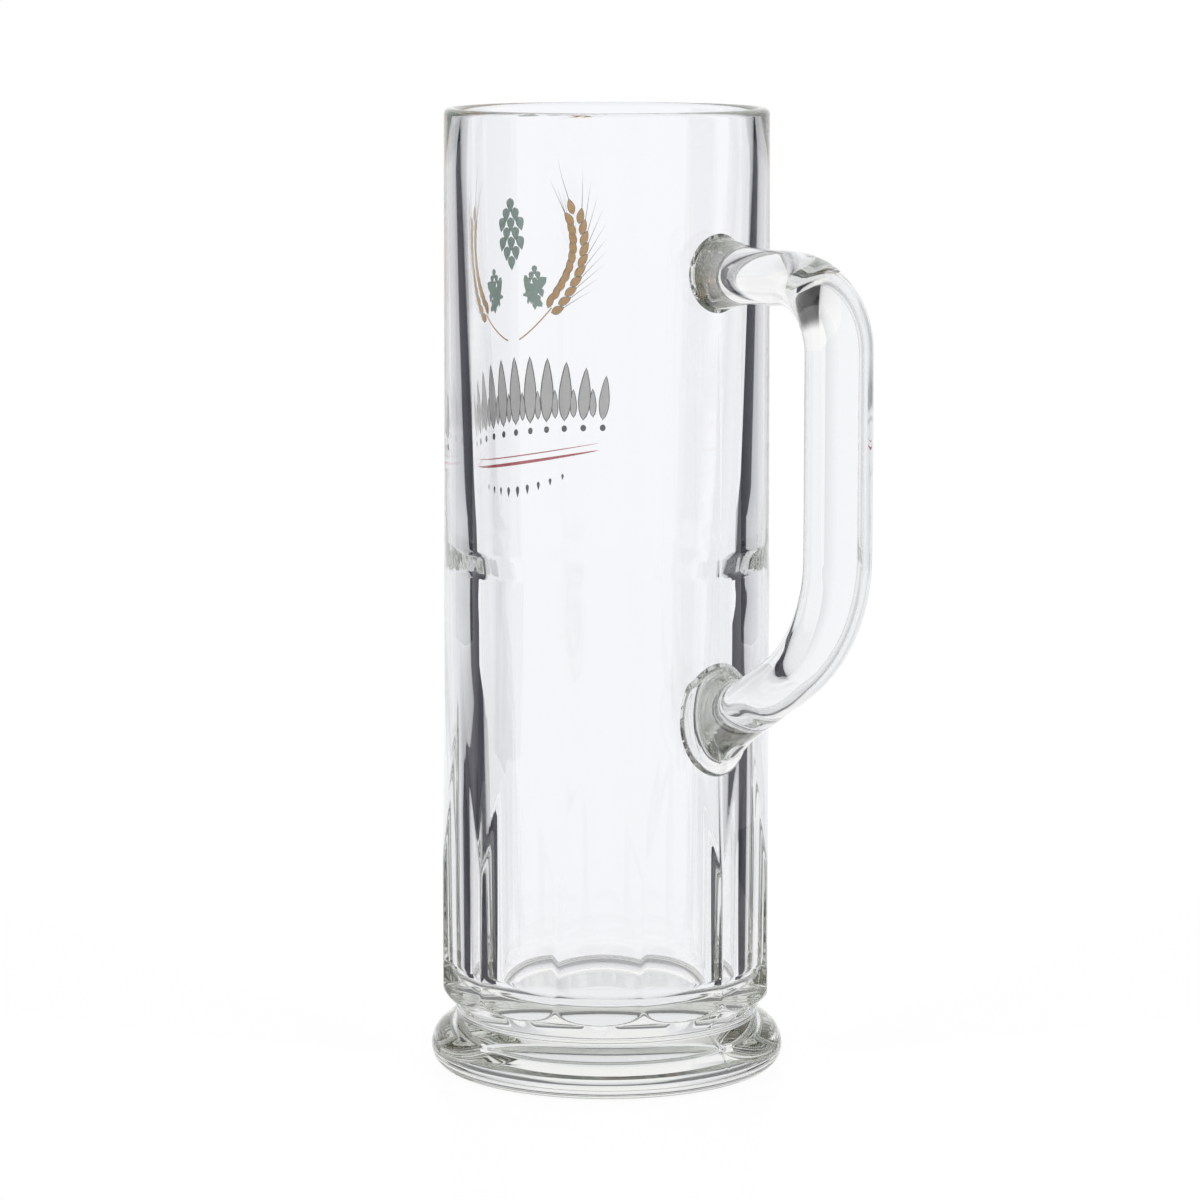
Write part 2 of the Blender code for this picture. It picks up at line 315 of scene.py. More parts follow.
def pressedBodyTree():
    tree, size, result = newShapeTree("pressedBody", {
        "Panels": "Int", "Columns Per Panel": "Int", "Ridge Crowding": "Float",
        "Inradius": "Float", "Soften": "Float", "Panel Base": "Float", "Panel Top": "Float",
        "Seam Height": "Float", "Seam Width": "Float", "Seam Top": "Float", "Seam Base": "Float",
        "Rib Count": "Int", "Rib Depth": "Float",
        "Ledge Height": "Float", "Ledge Reach": "Float", "Ledge Wave": "Float",
        "Ledge Unevenness": "Float", "Ledge Drift": "Float", "Weld": "Float", "Material": "Material"})
    do = partial(calc, tree)
    profile = size["Geometry"]
    count = placeNode(tree, "GeometryNodeAttributeDomainSize", {"Geometry": profile}, component="MESH")
    rows = count.outputs["Point Count"]
    columns = do("MULTIPLY", size["Panels"], size["Columns Per Panel"])
    grid = placeNode(tree, "GeometryNodeMeshGrid", {
        "Vertices X": do("ADD", columns, 1.0), "Vertices Y": rows})
    index = placeNode(tree, "GeometryNodeInputIndex").outputs[0]
    column = do("FLOOR", do("DIVIDE", do("ADD", index, 0.5), rows))
    row = do("SUBTRACT", index, do("MULTIPLY", column, rows))

    # columns crowd towards the ridges
    even = do("DIVIDE", column, size["Columns Per Panel"])
    sway = do("SINE", do("MULTIPLY", even, 2 * pi))
    pull = do("DIVIDE", size["Ridge Crowding"], 2 * pi)
    turn = do("SUBTRACT", even, do("MULTIPLY", sway, pull))
    pitch = do("DIVIDE", 2 * pi, size["Panels"])
    angle = do("MULTIPLY", turn, pitch)
    cosine, sine = do("COSINE", angle), do("SINE", angle)

    # the flats of the panels, as a radius
    fromRidge = do("MULTIPLY", pitch, do("ABSOLUTE", do("SUBTRACT", turn, do("ROUND", turn))))
    fromFlat = do("SUBTRACT", do("DIVIDE", pitch, 2.0), fromRidge)
    panelRadius = do("DIVIDE", size["Inradius"], do("COSINE", fromFlat))

    # the turned profile, cut back to the panels on the outside
    place = placeNode(tree, "GeometryNodeInputPosition").outputs[0]
    spot = splitAxes(tree, sampled(tree, profile, place, row, "FLOAT_VECTOR"))
    across, up = spot["X"], spot["Z"]
    outside = sampled(tree, profile, named(tree, "outside"), row, "FLOAT")
    bearing = sampled(tree, profile, named(tree, "bearing"), row, "FLOAT")
    above = do("GREATER_THAN", up, size["Panel Base"])
    inPanels = do("MULTIPLY", outside, do("MULTIPLY", above, do("LESS_THAN", up, size["Panel Top"])))
    cutBack = do("SMOOTH_MIN", across, panelRadius, size["Soften"])
    pressed = do("ADD", across, do("MULTIPLY", inPanels, do("SUBTRACT", cutBack, across)))

    # a fine mould seam in the handle's plane
    fromSeam = do("DIVIDE", do("MULTIPLY", pressed, sine), size["Seam Width"])
    seam = do("EXPONENT", do("MULTIPLY", do("POWER", fromSeam, 2.0), -1.0))
    below = do("MULTIPLY", outside, do("LESS_THAN", up, size["Seam Top"]))
    onSeam = do("MULTIPLY", below, do("GREATER_THAN", up, size["Seam Base"]))
    seamRise = do("MULTIPLY", do("MULTIPLY", seam, size["Seam Height"]), onSeam)

    # small waves on the inner ledge
    fromLedge = do("DIVIDE", do("SUBTRACT", up, size["Ledge Height"]), size["Ledge Reach"])
    near = do("EXPONENT", do("MULTIPLY", do("POWER", fromLedge, 2.0), -1.0))
    around = joinAxes(tree, cosine, sine, do("MULTIPLY", fromLedge, size["Ledge Drift"]))
    uneven = placeNode(tree, "ShaderNodeTexNoise", {"Vector": around, "Scale": size["Ledge Unevenness"]})
    waves = do("MULTIPLY", do("SUBTRACT", uneven.outputs["Fac"], 0.5), size["Ledge Wave"])
    ledgeRise = do("MULTIPLY", do("MULTIPLY", near, waves), do("SUBTRACT", 1.0, outside))
    radius = do("ADD", do("ADD", pressed, seamRise), ledgeRise)

    # ribs under the foot
    wave = do("COSINE", do("MULTIPLY", angle, size["Rib Count"]))
    dent = do("MULTIPLY", do("MULTIPLY", size["Rib Depth"], bearing),
              do("MULTIPLY", do("SUBTRACT", 1.0, wave), 0.5))

    joined = joinAxes(tree, do("MULTIPLY", radius, cosine), do("MULTIPLY", radius, sine), do("ADD", up, dent))
    moved = placeNode(tree, "GeometryNodeSetPosition", {"Geometry": grid.outputs["Mesh"], "Position": joined})
    welded = placeNode(tree, "GeometryNodeMergeByDistance", {
        "Geometry": moved.outputs[0], "Distance": size["Weld"]})
    faced = placeNode(tree, "GeometryNodeFlipFaces", {"Mesh": welded.outputs[0]})     # starts inside out
    smooth = placeNode(tree, "GeometryNodeSetShadeSmooth", {"Geometry": faced.outputs[0]})
    endShapeTree(tree, smooth.outputs[0], size["Material"], result)
    return tree


def makeBody(b):
    piece = addPiece("mugBody", bodyProfile(b))
    runTree(piece, pressedBodyTree(), {
        "Panels": b["panelCount"], "Columns Per Panel": b["columnsPerPanel"],
        "Ridge Crowding": b["ridgeCrowding"], "Inradius": b["panelInradius"], "Soften": b["soften"],
        "Panel Base": b["neckHeight"], "Panel Top": b["swellTop"],
        "Seam Height": b["seamHeight"], "Seam Width": b["seamWidth"],
        "Seam Top": b["seamTop"], "Seam Base": b["seamBase"],
        "Rib Count": b["ribCount"], "Rib Depth": b["ribDepth"],
        "Ledge Height": (b["ledgeTop"] + b["ledgeBase"]) / 2, "Ledge Reach": b["ledgeReach"],
        "Ledge Wave": b["ledgeWave"], "Ledge Unevenness": b["ledgeUneven"], "Ledge Drift": b["ledgeDrift"],
        "Weld": b["weld"], "Material": bodyGlass})
    return piece


mugBody = makeBody(body)
report(mugBody)

handle = {
    "reach": 70.0 * mm, "width": 16.4 * mm, "depth": 11.5 * mm,
    "upperRoot": 174.5 * mm, "lowerRoot": 81.2 * mm,
    "lowerRootSlope": radians(15), "lowerArmSlope": radians(32.5),
    "ankleReach": 8.5 * mm, "ankleBend": 20.0 * mm,
    "upperBend": 14.5 * mm, "lowerBend": 33.0 * mm,
    "rootWidth": 14.0 * mm, "upperRootDepth": 15.0 * mm, "lowerRootDepth": 19.8 * mm,
    "flareLength": 6.0 * mm, "waistLength": 18.0 * mm,
    "burial": 4.0 * mm, "sink": 0.3 * mm,       # how far the path and each root go into the wall
    "upperFillet": 0.8 * mm, "lowerFillet": 2.9 * mm, "upperFits": 5,
    "rings": 260, "sides": 64, "capRings": 6, "ringCrowding": 0.9,
    "pathStep": 0.4 * mm, "halvings": 40, "seatSteps": 6,
}


def wallRadiusAt(angle, height):
    if height > body["stepTop"]:
        share = (height - body["stepTop"]) / (body["height"] - body["stepTop"])
        return body["wallRadius"] + (body["lipRadius"] - body["wallRadius"]) * share
    pitch = 2 * pi / body["panelCount"]
    fromFlat = pitch / 2 - abs(angle - pitch * round(angle / pitch))
    return min(swollenRadius(body, height), body["panelInradius"] / cos(fromFlat))


def seatRadius(angle, height):
    return wallRadiusAt(angle, height) - handle["sink"]


def handleRail(h):
    # the middle line of the handle, and the length along it at each point
    ankle = body["wallRadius"] + h["ankleReach"]
    ankleHeight = h["lowerRoot"] + h["ankleReach"] * tan(h["lowerRootSlope"])
    lowerCorner = ankleHeight + (h["reach"] - ankle) * tan(h["lowerArmSlope"])
    buriedHeight = h["lowerRoot"] - h["burial"] * tan(h["lowerRootSlope"])
    points = roundedLine([
        (body["lipRadius"] - h["burial"], h["upperRoot"], 0),
        (h["reach"], h["upperRoot"], h["upperBend"]),
        (h["reach"], lowerCorner, h["lowerBend"]),
        (ankle, ankleHeight, h["ankleBend"]),
        (body["wallRadius"] - h["burial"], buriedHeight, 0)], h["pathStep"], h["pathStep"])
    lengths = [0.0]
    for a, b in zip(points, points[1:]):
        lengths.append(lengths[-1] + (b - a).length)
    return {"points": points, "lengths": lengths, "total": lengths[-1]}


def railPoint(rail, length):
    points, lengths = rail["points"], rail["lengths"]
    length = min(max(length, 0.0), rail["total"])
    high = min(bisect_right(lengths, length), len(lengths) - 1)
    share = (length - lengths[high - 1]) / (lengths[high] - lengths[high - 1])
    return points[high - 1].lerp(points[high], share)


def fade(distance, length):
    return exp(-(distance / length) ** 2)


def rootFillet(distance, fillet):
    if distance >= fillet:
        return 0.0
    return fillet - sqrt(fillet ** 2 - (fillet - max(distance, 0.0)) ** 2)


def sectionSize(h, fromUpper, fromLower):
    flare = (h["upperRootDepth"] - h["depth"]) * fade(fromUpper, h["flareLength"])
    flare += (h["lowerRootDepth"] - h["depth"]) * fade(fromLower, h["flareLength"])
    waist = (h["rootWidth"] - h["width"]) * (
        fade(fromUpper, h["waistLength"]) + fade(fromLower, h["waistLength"]))
    return h["depth"] + flare, h["width"] + waist


def handlePoint(h, rail, length, turn, walls=None):
    # walls: the lengths at which this line of the skin leaves the wall and meets it again
    lowerWall = rail["total"] - h["burial"] / cos(h["lowerRootSlope"])
    depth, width = sectionSize(h, max(length - h["burial"], 0), max(lowerWall - length, 0))
    collar = 0.0
    if walls:
        collar = rootFillet(length - walls[0], h["upperFillet"])
        collar += rootFillet(walls[1] - length, h["lowerFillet"])
    along = (railPoint(rail, length + h["pathStep"]) - railPoint(rail, length - h["pathStep"])).normalized()
    aside = Vector((-along.y, along.x))
    flat = railPoint(rail, length) + aside * ((depth / 2 + collar) * cos(turn))
    return Vector((flat.x, (width / 2 + collar) * sin(turn), flat.y))


def meetWall(h, rail, turn, start, end, walls=None):
    # the length at which one line of the handle's skin reaches the wall
    for _ in range(h["halvings"]):
        middle = (start + end) / 2
        p = handlePoint(h, rail, middle, turn, walls)
        inside = hypot(p.x, p.y) < seatRadius(atan2(p.y, p.x), p.z)
        start, end = (middle, end) if inside else (start, middle)
    return (start + end) / 2


def onSeat(h, y, z):
    x = body["wallRadius"]
    for _ in range(h["seatSteps"]):
        x = sqrt(seatRadius(atan2(y, x), z) ** 2 - y * y)
    return Vector((x, y, z))


def addCap(h, mesh, ring, flip):
    # closes an end of the handle on the wall's own curve
    centre = sum((v.co for v in ring), Vector()) / len(ring)
    last = ring
    for k in range(1, h["capRings"]):
        share = k / h["capRings"]
        new = [mesh.verts.new(onSeat(h, *(v.co.lerp(centre, share)).yz)) for v in ring]
        for j in range(len(ring)):
            i = (j + 1) % len(ring)
            quad = (last[j], last[i], new[i], new[j])
            mesh.faces.new(quad[::-1] if flip else quad)
        last = new
    hub = mesh.verts.new(onSeat(h, centre.y, centre.z))
    for j in range(len(ring)):
        corner = (last[j], last[(j + 1) % len(ring)], hub)
        mesh.faces.new(corner[::-1] if flip else corner)


def makeHandle(h):
    rail = handleRail(h)
    mesh = bmesh.new()
    turns = [2 * pi * j / h["sides"] for j in range(h["sides"])]
    total, middle = rail["total"], rail["total"] / 2
    walls = [tuple(meetWall(h, rail, t, end, middle) for end in (0.0, total)) for t in turns]
    for _ in range(h["upperFits"]):     # each fit brings the upper fillet's edge closer to the wall
        walls = [(meetWall(h, rail, t, 0.0, middle, w), w[1]) for t, w in zip(turns, walls)]
    ends = [meetWall(h, rail, t, total, middle, w) for t, w in zip(turns, walls)]
    rings = []
    for k in range(h["rings"] + 1):
        even = k / h["rings"]
        share = even - h["ringCrowding"] * sin(2 * pi * even) / (2 * pi)    # closer rings at both roots
        rings.append([mesh.verts.new(handlePoint(h, rail, w[0] + (end - w[0]) * share, t, w))
                      for t, w, end in zip(turns, walls, ends)])
    for back, front in zip(rings, rings[1:]):
        for j in range(h["sides"]):
            i = (j + 1) % h["sides"]
            mesh.faces.new((back[j], back[i], front[i], front[j]))
    addCap(h, mesh, rings[0], True)
    addCap(h, mesh, rings[-1], False)
    bmesh.ops.recalc_face_normals(mesh, faces=mesh.faces)
    for face in mesh.faces:
        face.smooth = True
    return addBuilt("mugHandle", mesh, handleGlass)


mugHandle = makeHandle(handle)
report(mugHandle)

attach(mugBody, "root")
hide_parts("mug_body")
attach(mugHandle, "root")
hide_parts("handle")

enamelLook = {
    "hues": {"gold": (0.80, 0.42, 0.08, 1.0), "green": (0.30, 0.47, 0.39, 1.0),
             "red": (0.82, 0.08, 0.12, 1.0), "silver": (0.86, 0.86, 0.85, 1.0),
             "dark": (0.05, 0.05, 0.055, 1.0)},
    "grainScale": 2200.0, "ripple": 0.004 * mm, "patchScale": 220.0,
    "patchShade": (0.88, 0.2), "gloss": (0.25, 0.3),    # the least, and what patches or grain add
}


def enamelGrain(look):
    group, given, result = newTree(
        "enamelGrain", "ShaderNodeTree", {"Colour": "Color", "Grain Scale": "Float", "Patch Scale": "Float"},
        {"Colour": "Color", "Roughness": "Float", "Height": "Float"})
    place = placeNode(group, "ShaderNodeTexCoord").outputs["Object"]
    grain, patch = (placeNode(group, "ShaderNodeTexNoise", {"Vector": place, "Scale": given.outputs[scale]})
                    .outputs["Fac"] for scale in ("Grain Scale", "Patch Scale"))
    thick, rough = (calc(group, "ADD", calc(group, "MULTIPLY", noise, extra), least)
                    for noise, (least, extra) in ((patch, look["patchShade"]), (grain, look["gloss"])))
    shade = placeNode(group, "ShaderNodeVectorMath", {0: given.outputs["Colour"], "Scale": thick},
                      operation="SCALE")
    fill(group, result, {"Colour": shade.outputs[0], "Roughness": rough, "Height": grain})
    return group


def makeEnamel(name, grain, look, colour):
    material, tree, shader = newMaterial(name)
    detail = placeNode(tree, "ShaderNodeGroup", {
        "Colour": colour, "Grain Scale": look["grainScale"], "Patch Scale": look["patchScale"]},
        node_tree=grain)
    bump = placeNode(tree, "ShaderNodeBump", {"Distance": look["ripple"], "Height": detail.outputs["Height"]})
    fill(tree, shader, {
        "Base Color": detail.outputs["Colour"], "Roughness": detail.outputs["Roughness"],
        "Normal": bump.outputs["Normal"]})
    return material


grain = enamelGrain(enamelLook)
enamels = {hue: makeEnamel("enamel" + hue.capitalize(), grain, enamelLook, colour)
           for hue, colour in enamelLook["hues"].items()}
print("enamel materials made")

film = {"sink": 0.03 * mm, "rise": 0.04 * mm, "weld": 0.002 * mm}   # the print melts a little into the wall


def wrappedPrintTree():
    tree, size, result = newShapeTree("wrappedPrint", {
        "Motif": "Object", "Wall Radius": "Float", "Wall Base": "Float", "Lip Radius": "Float",
        "Lip Height": "Float", "Sink": "Float", "Rise": "Float", "Weld": "Float", "Material": "Material"})
    do = partial(calc, tree)
    motif = placeNode(tree, "GeometryNodeObjectInfo", {"Object": size["Motif"]})
    spin = placeNode(tree, "FunctionNodeEulerToRotation", {0: joinAxes(tree, 0.0, 0.0, named(tree, "turn"))})
    placed = placeNode(tree, "GeometryNodeInstanceOnPoints", {
        "Points": size["Geometry"], "Instance": motif.outputs["Geometry"],
        "Rotation": spin.outputs[0], "Scale": named(tree, "size")})
    realized = placeNode(tree, "GeometryNodeRealizeInstances", {"Geometry": placed.outputs["Instances"]})
    flat = realized.outputs["Geometry"]

    # a closed film: the flat shapes raised, and a flipped copy of them behind
    back = placeNode(tree, "GeometryNodeFlipFaces", {"Mesh": flat})
    raised = placeNode(tree, "GeometryNodeExtrudeMesh", {
        "Mesh": flat, "Offset Scale": do("ADD", size["Sink"], size["Rise"]), "Individual": False},
        mode="FACES")
    both = placeNode(tree, "GeometryNodeJoinGeometry")
    for part in (back, raised):
        tree.links.new(part.outputs["Mesh"], both.inputs["Geometry"])
    welded = placeNode(tree, "GeometryNodeMergeByDistance", {
        "Geometry": both.outputs["Geometry"], "Distance": size["Weld"]})

    # laid round the wall opposite the handle
    spot = splitAxes(tree, placeNode(tree, "GeometryNodeInputPosition").outputs[0])
    angle = do("ADD", pi, do("DIVIDE", spot["X"], size["Wall Radius"]))
    share = do("DIVIDE", do("SUBTRACT", spot["Y"], size["Wall Base"]),
               do("SUBTRACT", size["Lip Height"], size["Wall Base"]))
    lean = do("SUBTRACT", size["Lip Radius"], size["Wall Radius"])
    wall = do("ADD", size["Wall Radius"], do("MULTIPLY", share, lean))
    radius = do("SUBTRACT", do("ADD", wall, spot["Z"]), size["Sink"])
    joined = joinAxes(tree, do("MULTIPLY", radius, do("COSINE", angle)),
                      do("MULTIPLY", radius, do("SINE", angle)), spot["Y"])
    moved = placeNode(tree, "GeometryNodeSetPosition", {
        "Geometry": welded.outputs["Geometry"], "Position": joined})
    endShapeTree(tree, moved.outputs["Geometry"], size["Material"], result)
    return tree


printWrap = wrappedPrintTree()


def ribbon(middle, half, rows, columns):
    # a flat strip along a line: middle(t) is a point and half(t) half the width, t from 0 to 1
    points, faces, step = [], [], 0.01
    for i in range(rows + 1):
        t = i / rows
        here = Vector(middle(t))
        ahead = Vector(middle(min(t + step, 1.0))) - Vector(middle(max(t - step, 0.0)))
        aside = Vector((ahead.y, -ahead.x)).normalized()
        for j in range(columns + 1):
            points.append(here + aside * half(t) * (2 * j / columns - 1))
    for i in range(rows):
        for j in range(columns):
            k = i * (columns + 1) + j
            faces.append((k, k + 1, k + columns + 2, k + columns + 1))
    return points, faces


def upright(length, half, rows, columns):
    return ribbon(lambda t: (0.0, length * t), half, rows, columns)


def rimOf(length, half, steps, width):
    # the outline that goes round an upright leaf, without covering it
    side = [Vector((half(k / steps), length * k / steps)) for k in range(steps + 1)]
    loop = side + [Vector((-p.x, p.y)) for p in reversed(side[1:-1])]
    points, faces, count = [], [], len(loop)
    for k, p in enumerate(loop):
        way = loop[(k + 1) % count] - loop[k - 1]
        points += [p, p + Vector((way.y, -way.x)).normalized() * width]
    for k in range(count):
        a, b = 2 * k, 2 * ((k + 1) % count)
        faces.append((a, a + 1, b + 1, b))
    return points, faces


def printPiece(name, motif, places, hue):
    # places are (across, up, turn, size) on the unrolled wall, in millimetres
    shape = bpy.data.meshes.new(name + "Motif")
    shape.from_pydata([(p[0] * mm, p[1] * mm, 0) for p in motif[0]], [], motif[1])
    guide = bpy.data.meshes.new(name)
    guide.from_pydata([(p[0] * mm, p[1] * mm, 0) for p in places], [], [])
    for label, column in (("turn", 2), ("size", 3)):
        attribute = guide.attributes.new(label, "FLOAT", "POINT")
        for item, place in zip(attribute.data, places):
            item.value = place[column]
    stamp = addPiece(name + "Motif", shape)
    piece = addPiece(name, guide)
    runTree(piece, printWrap, {
        "Motif": stamp, "Wall Radius": body["wallRadius"], "Wall Base": body["stepTop"],
        "Lip Radius": body["lipRadius"], "Lip Height": body["height"],
        "Sink": film["sink"], "Rise": film["rise"], "Weld": film["weld"], "Material": enamels[hue]})
    bpy.data.objects.remove(stamp)
    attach(piece, "root")
    report(piece)


# lengths of the print are in millimetres
barley = {
    "foot": (2.0, 155.0), "sweep": 17.0, "bend": 0.62, "rise": 27.0, "climb": 1.25,
    "grainStart": 0.30, "grains": 10, "grainLength": 3.6, "grainHalf": 0.85, "grainFullness": 0.8,
    "grainLean": radians(24), "grainAside": 0.75, "rim": 0.12,
    "awnLength": 8.0, "awnHalf": 0.07, "awnTaper": 1.05, "awnLean": 0.6, "stemHalf": 0.16, "step": 0.02,
}


def earPath(e, side, t):
    # an ear of barley curves out from the foot and up
    across = e["foot"][0] + e["sweep"] * sin(t * pi * e["bend"])
    return side * across, e["foot"][1] + e["rise"] * max(t, 0.0) ** e["climb"]


def makeBarley(e):
    grains, awns = [], []
    tip = e["grainLength"] + e["rim"]
    for side in (-1, 1):
        for k in range(e["grains"] + 1):
            t = e["grainStart"] + (1 - e["grainStart"]) * k / e["grains"]
            x, y = earPath(e, side, t)
            back = earPath(e, side, t - e["step"])
            turn = atan2(y - back[1], x - back[0]) - pi / 2
            for hand in (0,) if k == e["grains"] else (-1, 1):
                lean = turn - hand * e["grainLean"]
                px = x + hand * e["grainAside"] * cos(turn)
                py = y + hand * e["grainAside"] * sin(turn)
                awnTurn = turn - hand * e["grainLean"] * e["awnLean"]
                grains.append((px, py, lean, 1.0))
                awns.append((px - tip * sin(lean), py + tip * cos(lean), awnTurn, 1.0))
    half = lambda t: e["grainHalf"] * sin(pi * t ** e["grainFullness"])
    awnHalf = lambda t: e["awnHalf"] * (e["awnTaper"] - t)
    printPiece("barleyGrains", upright(e["grainLength"], half, 6, 2), grains, "gold")
    printPiece("barleyGrainRims", rimOf(e["grainLength"], half, 6, e["rim"]), grains, "dark")
    printPiece("barleyAwns", upright(e["awnLength"], awnHalf, 5, 1), awns, "dark")
    stemEnd = e["grainStart"] + e["step"]
    for side, name in ((-1, "barleyStemLeft"), (1, "barleyStemRight")):
        stem = ribbon(lambda t: earPath(e, side, t * stemEnd), lambda t: e["stemHalf"], 12, 1)
        printPiece(name, stem, [(0, 0, 0, 1.0)], "gold")


makeBarley(barley)

hop = {
    "scaleLength": 3.0, "scaleHalf": 1.15, "scaleFullness": 0.62, "rim": 0.10,
    "rows": (1, 2, 3, 2, 3, 2, 1), "rowDrop": 2.1, "rowStep": 2.75, "rowFan": 0.10,
    "cones": [(0.0, 186.0, 1.0), (-7.2, 171.0, 0.62), (7.2, 171.0, 0.62)],
    "leaves": [(-4.0, 163.5, 0.95, 0.9), (4.0, 163.5, -0.95, 0.9)],
    "leafOuter": 7.0, "leafInner": 3.0, "leafStalk": 0.3, "leafReach": (0.62, 0.38), "leafRings": 4,
    "lobes": 5, "lobeSteps": 8, "lobePoint": 1.5,
}


def lobedLeaf(h):
    # a pointed leaf with several lobes, its stalk near the origin and its tip upwards
    count, stalk = h["lobes"] * h["lobeSteps"], h["leafStalk"] * h["leafOuter"]
    least, extra = h["leafReach"]
    edge = []
    for k in range(count):
        a = 2 * pi * k / count
        wave = (0.5 + 0.5 * cos(h["lobes"] * a)) ** h["lobePoint"]
        reach = (h["leafInner"] + (h["leafOuter"] - h["leafInner"]) * wave) * (least + extra * cos(a))
        edge.append(Vector((reach * sin(a), reach * cos(a) + stalk)))
    hub, rings = Vector((0.0, stalk)), h["leafRings"]
    points = [hub] + [hub.lerp(p, r / rings) for r in range(1, rings + 1) for p in edge]
    faces = [(0, 1 + (k + 1) % count, 1 + k) for k in range(count)]
    for r in range(rings - 1):
        a, b = 1 + r * count, 1 + (r + 1) * count
        for k in range(count):
            i = (k + 1) % count
            faces.append((a + k, a + i, b + i, b + k))
    return points, faces


def makeHops(h):
    scales = []
    for x, y, size in h["cones"]:
        for row, count in enumerate(h["rows"]):
            for k in range(count):
                aside = (k - (count - 1) / 2) * h["rowStep"]
                drop = row * h["rowDrop"]
                scales.append((x + aside * size, y - drop * size, pi + h["rowFan"] * aside, size))
    half = lambda t: h["scaleHalf"] * sin(pi * t ** h["scaleFullness"])
    printPiece("hopScales", upright(h["scaleLength"], half, 6, 2), scales, "green")
    printPiece("hopScaleRims", rimOf(h["scaleLength"], half, 8, h["rim"]), scales, "dark")
    printPiece("hopLeaves", lobedLeaf(h), h["leaves"], "green")


makeHops(hop)

frieze = {
    "base": 136.5, "count": 11, "pitch": 5.0, "length": 14.5, "half": 1.75, "fullness": (0.75, 0.9),
    "rim": 0.30, "crown": 0.34, "lean": 0.10, "budLift": 0.6, "budSize": 0.42, "budRim": 1.6,
    "beadHeight": 134.6, "beadRadius": 0.75, "beadSides": 12,
}


def makeFrieze(f):
    leaves, buds, beads = [], [], []
    middle = (f["count"] - 1) / 2
    for k in range(f["count"]):
        aside = (k - middle) / middle
        across = aside * middle * f["pitch"]
        leaves.append((across, f["base"], -f["lean"] * aside, 1.0 - f["crown"] * aside ** 2))
        beads.append((across, f["beadHeight"], 0.0, 1.0))
        if k + 1 < f["count"]:
            buds.append(((k - middle + 0.5) * f["pitch"], f["base"] + f["budLift"], 0.0, f["budSize"]))
    early, full = f["fullness"]
    half = lambda t: f["half"] * sin(pi * t ** early) ** full
    printPiece("friezeLeaves", upright(f["length"], half, 12, 4), leaves, "silver")
    printPiece("friezeRims", rimOf(f["length"], half, 14, f["rim"]), leaves, "dark")
    printPiece("friezeBuds", upright(f["length"], half, 8, 2), buds, "silver")
    printPiece("friezeBudRims", rimOf(f["length"], half, 10, f["rim"] * f["budRim"]), buds, "dark")
    sides = f["beadSides"]
    bead = [[f["beadRadius"] * way(2 * pi * k / sides) for way in (cos, sin)] for k in range(sides)]
    printPiece("friezeBeads", (bead, [tuple(range(sides))]), beads, "dark")


makeFrieze(frieze)

sash = {
    "height": 129.6, "sag": 1.8, "half": 24.0, "thick": 0.34, "thin": 0.12, "gap": 1.6,
    "fullness": 0.5, "endHalf": 0.01, "steps": 40,
    "dropHeight": 124.6, "drops": 9, "dropPitch": 3.6, "dropLength": 2.6, "dropHalf": 0.62,
    "dropFullness": 0.6, "dropShrink": 0.45,
}


def makeSash(s):
    for name, lift, width in (("sashUpper", s["gap"], s["thin"]), ("sashLower", 0.0, s["thick"])):
        arc = lambda t: (s["half"] * (2 * t - 1), s["height"] + lift - s["sag"] * (1 - (2 * t - 1) ** 2))
        taper = lambda t: width * sin(pi * t) ** s["fullness"] + s["endHalf"]
        printPiece(name, ribbon(arc, taper, s["steps"], 1), [(0, 0, 0, 1.0)], "red")
    drops = []
    for k in range(s["drops"]):
        side = 2 * k / (s["drops"] - 1) - 1
        drops.append((side * (s["drops"] - 1) / 2 * s["dropPitch"],
                      s["dropHeight"] - s["sag"] * (1 - side ** 2), pi, 1.0 - s["dropShrink"] * abs(side)))
    half = lambda t: s["dropHalf"] * sin(pi * t ** s["dropFullness"])
    printPiece("sashDrops", upright(s["dropLength"], half, 6, 2), drops, "dark")


makeSash(sash)

studio = {
    "ahead": 137.5,                             # degrees from +X to where the camera looks
    "throughGlass": (0.93, 0.94, 0.972, 1.0),   # the pale surroundings, as the glass shows them
    # painted shade: the world and the floor are drawn darker for light that the glass turned back many times
    "turnsLeast": 2.0, "turnsMost": 8.0, "turnsShade": 0.88,
    "bounces": 48,
}


# painted shade, darker by how many times the glass turned the light back
def turnedShade(tree, path):
    return mapRange(tree, path["Glossy Depth"], studio["turnsLeast"], studio["turnsMost"],
                    1.0, studio["turnsShade"])


def mixSurface(tree, share, first, second):
    mix = placeNode(tree, "ShaderNodeMixShader", {"Fac": share, 1: first.outputs[0], 2: second.outputs[0]})
    feed(tree, tree.nodes["Material Output"].inputs["Surface"], mix.outputs[0])


floor = {
    "size": 60.0, "colour": (0.97, 0.97, 0.97, 1.0), "roughness": 0.2, "glow": 0.93,
    # painted shadow under the foot, as it shows through the glass, by the distance from the mug's axis
    "shadeReach": 60.0 * mm,
    "shade": [(0.0, 0.95), (32.0 * mm, 0.95), (34.0 * mm, 0.18), (38.0 * mm, 0.18), (41.0 * mm, 1.0)],
}


